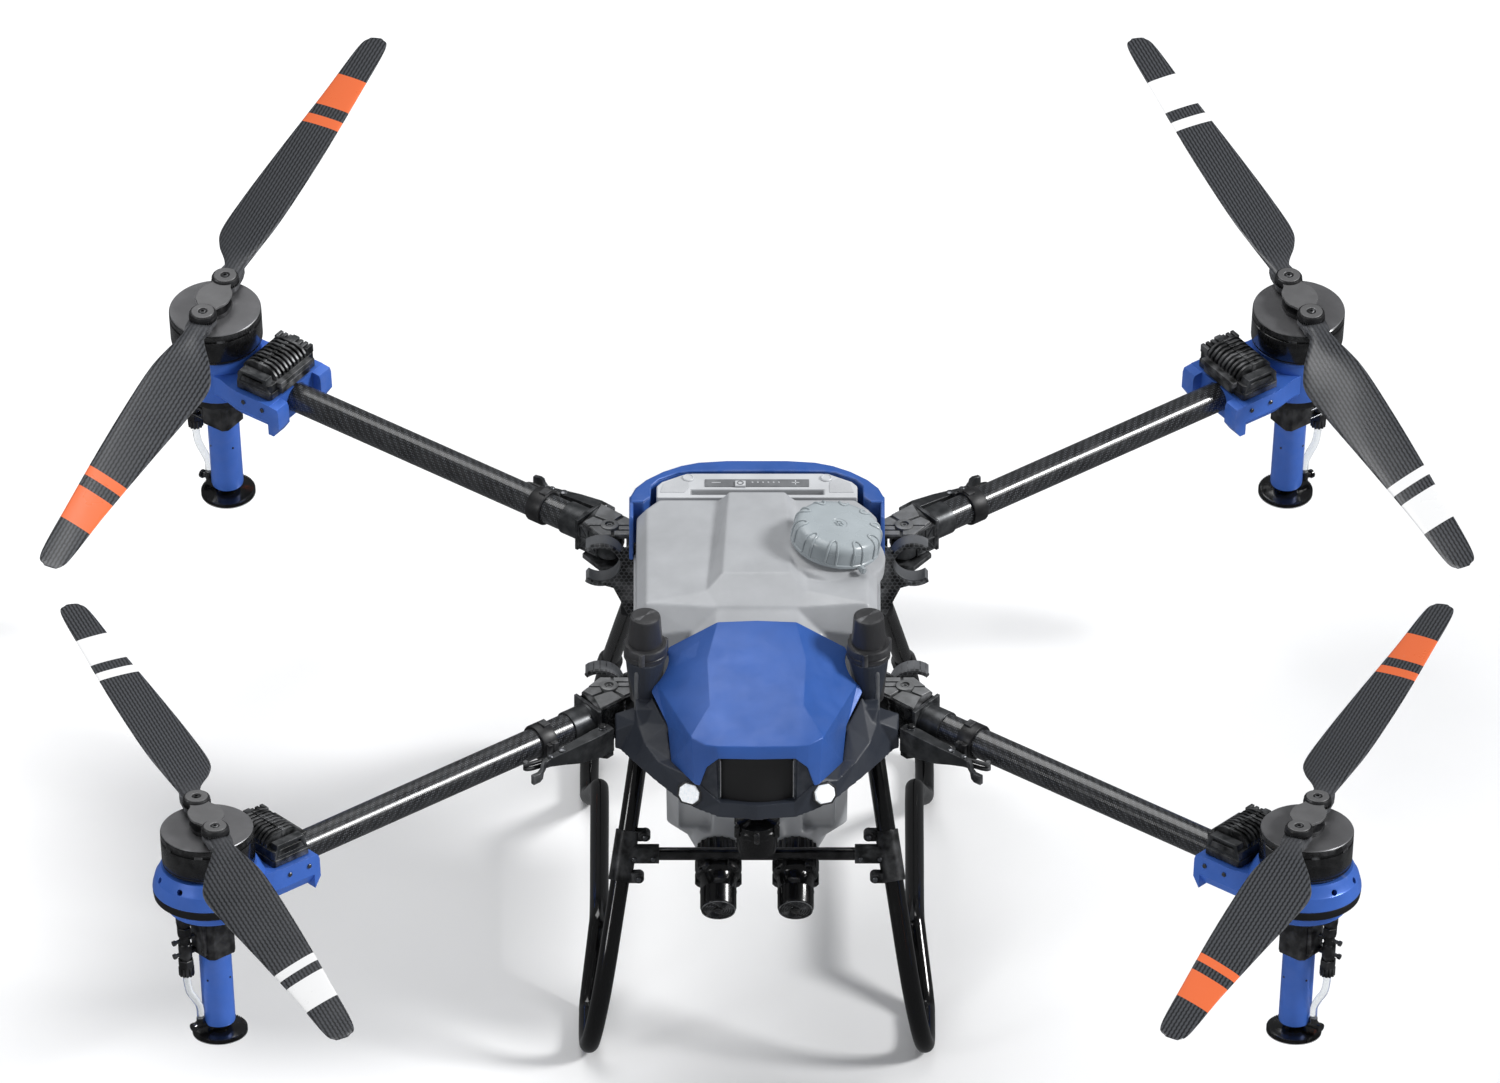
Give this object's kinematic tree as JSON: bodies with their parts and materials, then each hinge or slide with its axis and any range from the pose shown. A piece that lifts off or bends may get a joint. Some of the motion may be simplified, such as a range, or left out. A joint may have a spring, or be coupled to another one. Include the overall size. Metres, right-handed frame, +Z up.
{
  "type": "agricultural spray drone",
  "caption": "Folding-arm agricultural spray drone with tilting carbon arms, folding propeller blades, a liquid tank, a lift-out battery and a spray nozzle under each motor.",
  "frame": {"origin": "on the ground, under the middle of the motors", "axes": "+Z is up, the nose faces -Y, +X is the side on the right of someone who stands in front of the nose"},
  "size_m": [1.8932, 2.3444, 0.6199],
  "materials": {
    "blue_shell": "satin",
    "carbon_fibre": "satin",
    "black_alloy": "satin",
    "black_plastic": "matte",
    "grey_casting": "satin",
    "motor_alloy": "satin",
    "tank_plastic": "satin",
    "cap_plastic": "satin",
    "charcoal_plastic": "matte",
    "battery_plastic": "satin",
    "blade_composite": "satin"
  },
  "bodies": {
    "frame": {"main_frame": "carbon_fibre", "tank": "tank_plastic", "rear_cover": "blue_shell", "nose_hood": "blue_shell", "nose_bumper": "charcoal_plastic", "front_camera": "black_plastic", "front_cross_tube": "carbon_fibre", "antenna_left": "charcoal_plastic", "landing_gear_left": "carbon_fibre", "pump_left": "black_plastic", "antenna_right": "charcoal_plastic", "landing_gear_right": "carbon_fibre", "pump_right": "black_plastic", "fold_bracket_front_left": "grey_casting", "fold_bracket_front_right": "grey_casting", "fold_bracket_rear_left": "grey_casting", "fold_bracket_rear_right": "grey_casting"},
    "battery": {"battery": "battery_plastic"},
    "power_button": {"power_button": "black_plastic"},
    "tank_cap": {"tank_cap": "cap_plastic"},
    "arm_front_left": {"arm_knuckle_front_left": "black_alloy", "arm_tube_front_left": "carbon_fibre", "motor_mount_front_left": "blue_shell", "speed_controller_front_left": "black_alloy", "nozzle_body_front_left": "blue_shell"},
    "latch_front_left": {"latch_lever_front_left": "black_plastic"},
    "rotor_front_left": {"rotor_front_left": "motor_alloy"},
    "blade_a_front_left": {"blade_a_front_left": "blade_composite"},
    "blade_b_front_left": {"blade_b_front_left": "blade_composite"},
    "spray_disc_front_left": {"spray_disc_front_left": "black_plastic"},
    "arm_front_right": {"arm_knuckle_front_right": "black_alloy", "arm_tube_front_right": "carbon_fibre", "motor_mount_front_right": "blue_shell", "speed_controller_front_right": "black_alloy", "nozzle_body_front_right": "blue_shell"},
    "latch_front_right": {"latch_lever_front_right": "black_plastic"},
    "rotor_front_right": {"rotor_front_right": "motor_alloy"},
    "blade_a_front_right": {"blade_a_front_right": "blade_composite"},
    "blade_b_front_right": {"blade_b_front_right": "blade_composite"},
    "spray_disc_front_right": {"spray_disc_front_right": "black_plastic"},
    "arm_rear_left": {"arm_knuckle_rear_left": "black_alloy", "arm_tube_rear_left": "carbon_fibre", "motor_mount_rear_left": "blue_shell", "speed_controller_rear_left": "black_alloy", "nozzle_body_rear_left": "blue_shell"},
    "latch_rear_left": {"latch_lever_rear_left": "black_plastic"},
    "rotor_rear_left": {"rotor_rear_left": "motor_alloy"},
    "blade_a_rear_left": {"blade_a_rear_left": "blade_composite"},
    "blade_b_rear_left": {"blade_b_rear_left": "blade_composite"},
    "spray_disc_rear_left": {"spray_disc_rear_left": "black_plastic"},
    "arm_rear_right": {"arm_knuckle_rear_right": "black_alloy", "arm_tube_rear_right": "carbon_fibre", "motor_mount_rear_right": "blue_shell", "speed_controller_rear_right": "black_alloy", "nozzle_body_rear_right": "blue_shell"},
    "latch_rear_right": {"latch_lever_rear_right": "black_plastic"},
    "rotor_rear_right": {"rotor_rear_right": "motor_alloy"},
    "blade_a_rear_right": {"blade_a_rear_right": "blade_composite"},
    "blade_b_rear_right": {"blade_b_rear_right": "blade_composite"},
    "spray_disc_rear_right": {"spray_disc_rear_right": "black_plastic"}
  },
  "joints": [
    {"name": "battery_lift", "type": "slide", "parent": "frame", "child": "battery", "axis": [0, 0, 1], "range_m": [0, 0.14]},
    {"name": "power_button_press", "type": "slide", "parent": "battery", "child": "power_button", "axis": [0, 0, -1], "range_m": [0, 0.002]},
    {"name": "tank_cap_turn", "type": "hinge", "parent": "frame", "child": "tank_cap", "pos_m": [0.103, 0.014, 0.5775], "axis": [0.1736, 0, 0.9848], "range_deg": [0, 90]},
    {"name": "arm_fold_front_left", "type": "hinge", "parent": "frame", "child": "arm_front_left", "pos_m": [-0.195, -0.188, 0.46], "axis": [-0.0606, -0.1253, -0.9903], "range_deg": [0, 128]},
    {"name": "latch_open_front_left", "type": "hinge", "parent": "frame", "child": "latch_front_left", "pos_m": [-0.20337, -0.25821, 0.46], "axis": [0, 0, 1], "range_deg": [0, 30]},
    {"name": "rotor_spin_front_left", "type": "hinge", "parent": "arm_front_left", "child": "rotor_front_left", "pos_m": [-0.72179, -0.60685, 0.56264], "axis": [-0.0517, 0.0658, 0.9965], "continuous": true},
    {"name": "blade_fold_a_front_left", "type": "hinge", "parent": "rotor_front_left", "child": "blade_a_front_left", "pos_m": [-0.7092, -0.64573, 0.56586], "axis": [-0.0517, 0.0658, 0.9965], "range_deg": [0, 95]},
    {"name": "blade_fold_b_front_left", "type": "hinge", "parent": "rotor_front_left", "child": "blade_b_front_left", "pos_m": [-0.73438, -0.56796, 0.55942], "axis": [0.0517, -0.0658, -0.9965], "range_deg": [0, 70]},
    {"name": "spray_disc_spin_front_left", "type": "hinge", "parent": "arm_front_left", "child": "spray_disc_front_left", "pos_m": [-0.70528, -0.62782, 0.24476], "axis": [-0.0517, 0.0658, 0.9965], "continuous": true},
    {"name": "arm_fold_front_right", "type": "hinge", "parent": "frame", "child": "arm_front_right", "pos_m": [0.195, -0.188, 0.46], "axis": [-0.0606, 0.1253, 0.9903], "range_deg": [0, 128]},
    {"name": "latch_open_front_right", "type": "hinge", "parent": "frame", "child": "latch_front_right", "pos_m": [0.20337, -0.25821, 0.46], "axis": [0, 0, -1], "range_deg": [0, 30]},
    {"name": "rotor_spin_front_right", "type": "hinge", "parent": "arm_front_right", "child": "rotor_front_right", "pos_m": [0.72179, -0.60685, 0.56264], "axis": [0.0517, 0.0658, 0.9965], "continuous": true},
    {"name": "blade_fold_a_front_right", "type": "hinge", "parent": "rotor_front_right", "child": "blade_a_front_right", "pos_m": [0.7092, -0.64573, 0.56586], "axis": [-0.0517, -0.0658, -0.9965], "range_deg": [0, 95]},
    {"name": "blade_fold_b_front_right", "type": "hinge", "parent": "rotor_front_right", "child": "blade_b_front_right", "pos_m": [0.73438, -0.56796, 0.55942], "axis": [0.0517, 0.0658, 0.9965], "range_deg": [0, 70]},
    {"name": "spray_disc_spin_front_right", "type": "hinge", "parent": "arm_front_right", "child": "spray_disc_front_right", "pos_m": [0.70528, -0.62782, 0.24476], "axis": [0.0517, 0.0658, 0.9965], "continuous": true},
    {"name": "arm_fold_rear_left", "type": "hinge", "parent": "frame", "child": "arm_rear_left", "pos_m": [-0.195, 0.188, 0.46], "axis": [-0.0643, 0.1331, 0.989], "range_deg": [0, 128]},
    {"name": "latch_open_rear_left", "type": "hinge", "parent": "frame", "child": "latch_rear_left", "pos_m": [-0.20337, 0.25821, 0.46], "axis": [0, 0, -1], "range_deg": [0, 30]},
    {"name": "rotor_spin_rear_left", "type": "hinge", "parent": "arm_rear_left", "child": "rotor_rear_left", "pos_m": [-0.72179, 0.60685, 0.56264], "axis": [-0.0517, -0.0658, 0.9965], "continuous": true},
    {"name": "blade_fold_a_rear_left", "type": "hinge", "parent": "rotor_rear_left", "child": "blade_a_rear_left", "pos_m": [-0.7364, 0.56868, 0.55936], "axis": [0.0517, 0.0658, -0.9965], "range_deg": [0, 90]},
    {"name": "blade_fold_b_rear_left", "type": "hinge", "parent": "rotor_rear_left", "child": "blade_b_rear_left", "pos_m": [-0.70718, 0.64501, 0.56592], "axis": [-0.0517, -0.0658, 0.9965], "range_deg": [0, 80]},
    {"name": "spray_disc_spin_rear_left", "type": "hinge", "parent": "arm_rear_left", "child": "spray_disc_rear_left", "pos_m": [-0.70528, 0.62782, 0.24476], "axis": [-0.0517, -0.0658, 0.9965], "continuous": true},
    {"name": "arm_fold_rear_right", "type": "hinge", "parent": "frame", "child": "arm_rear_right", "pos_m": [0.195, 0.188, 0.46], "axis": [-0.0643, -0.1331, -0.989], "range_deg": [0, 128]},
    {"name": "latch_open_rear_right", "type": "hinge", "parent": "frame", "child": "latch_rear_right", "pos_m": [0.20337, 0.25821, 0.46], "axis": [0, 0, 1], "range_deg": [0, 30]},
    {"name": "rotor_spin_rear_right", "type": "hinge", "parent": "arm_rear_right", "child": "rotor_rear_right", "pos_m": [0.72179, 0.60685, 0.56264], "axis": [0.0517, -0.0658, 0.9965], "continuous": true},
    {"name": "blade_fold_a_rear_right", "type": "hinge", "parent": "rotor_rear_right", "child": "blade_a_rear_right", "pos_m": [0.7364, 0.56868, 0.55936], "axis": [0.0517, -0.0658, 0.9965], "range_deg": [0, 90]},
    {"name": "blade_fold_b_rear_right", "type": "hinge", "parent": "rotor_rear_right", "child": "blade_b_rear_right", "pos_m": [0.70718, 0.64501, 0.56592], "axis": [-0.0517, 0.0658, -0.9965], "range_deg": [0, 80]},
    {"name": "spray_disc_spin_rear_right", "type": "hinge", "parent": "arm_rear_right", "child": "spray_disc_rear_right", "pos_m": [0.70528, 0.62782, 0.24476], "axis": [0.0517, -0.0658, 0.9965], "continuous": true}
  ]
}
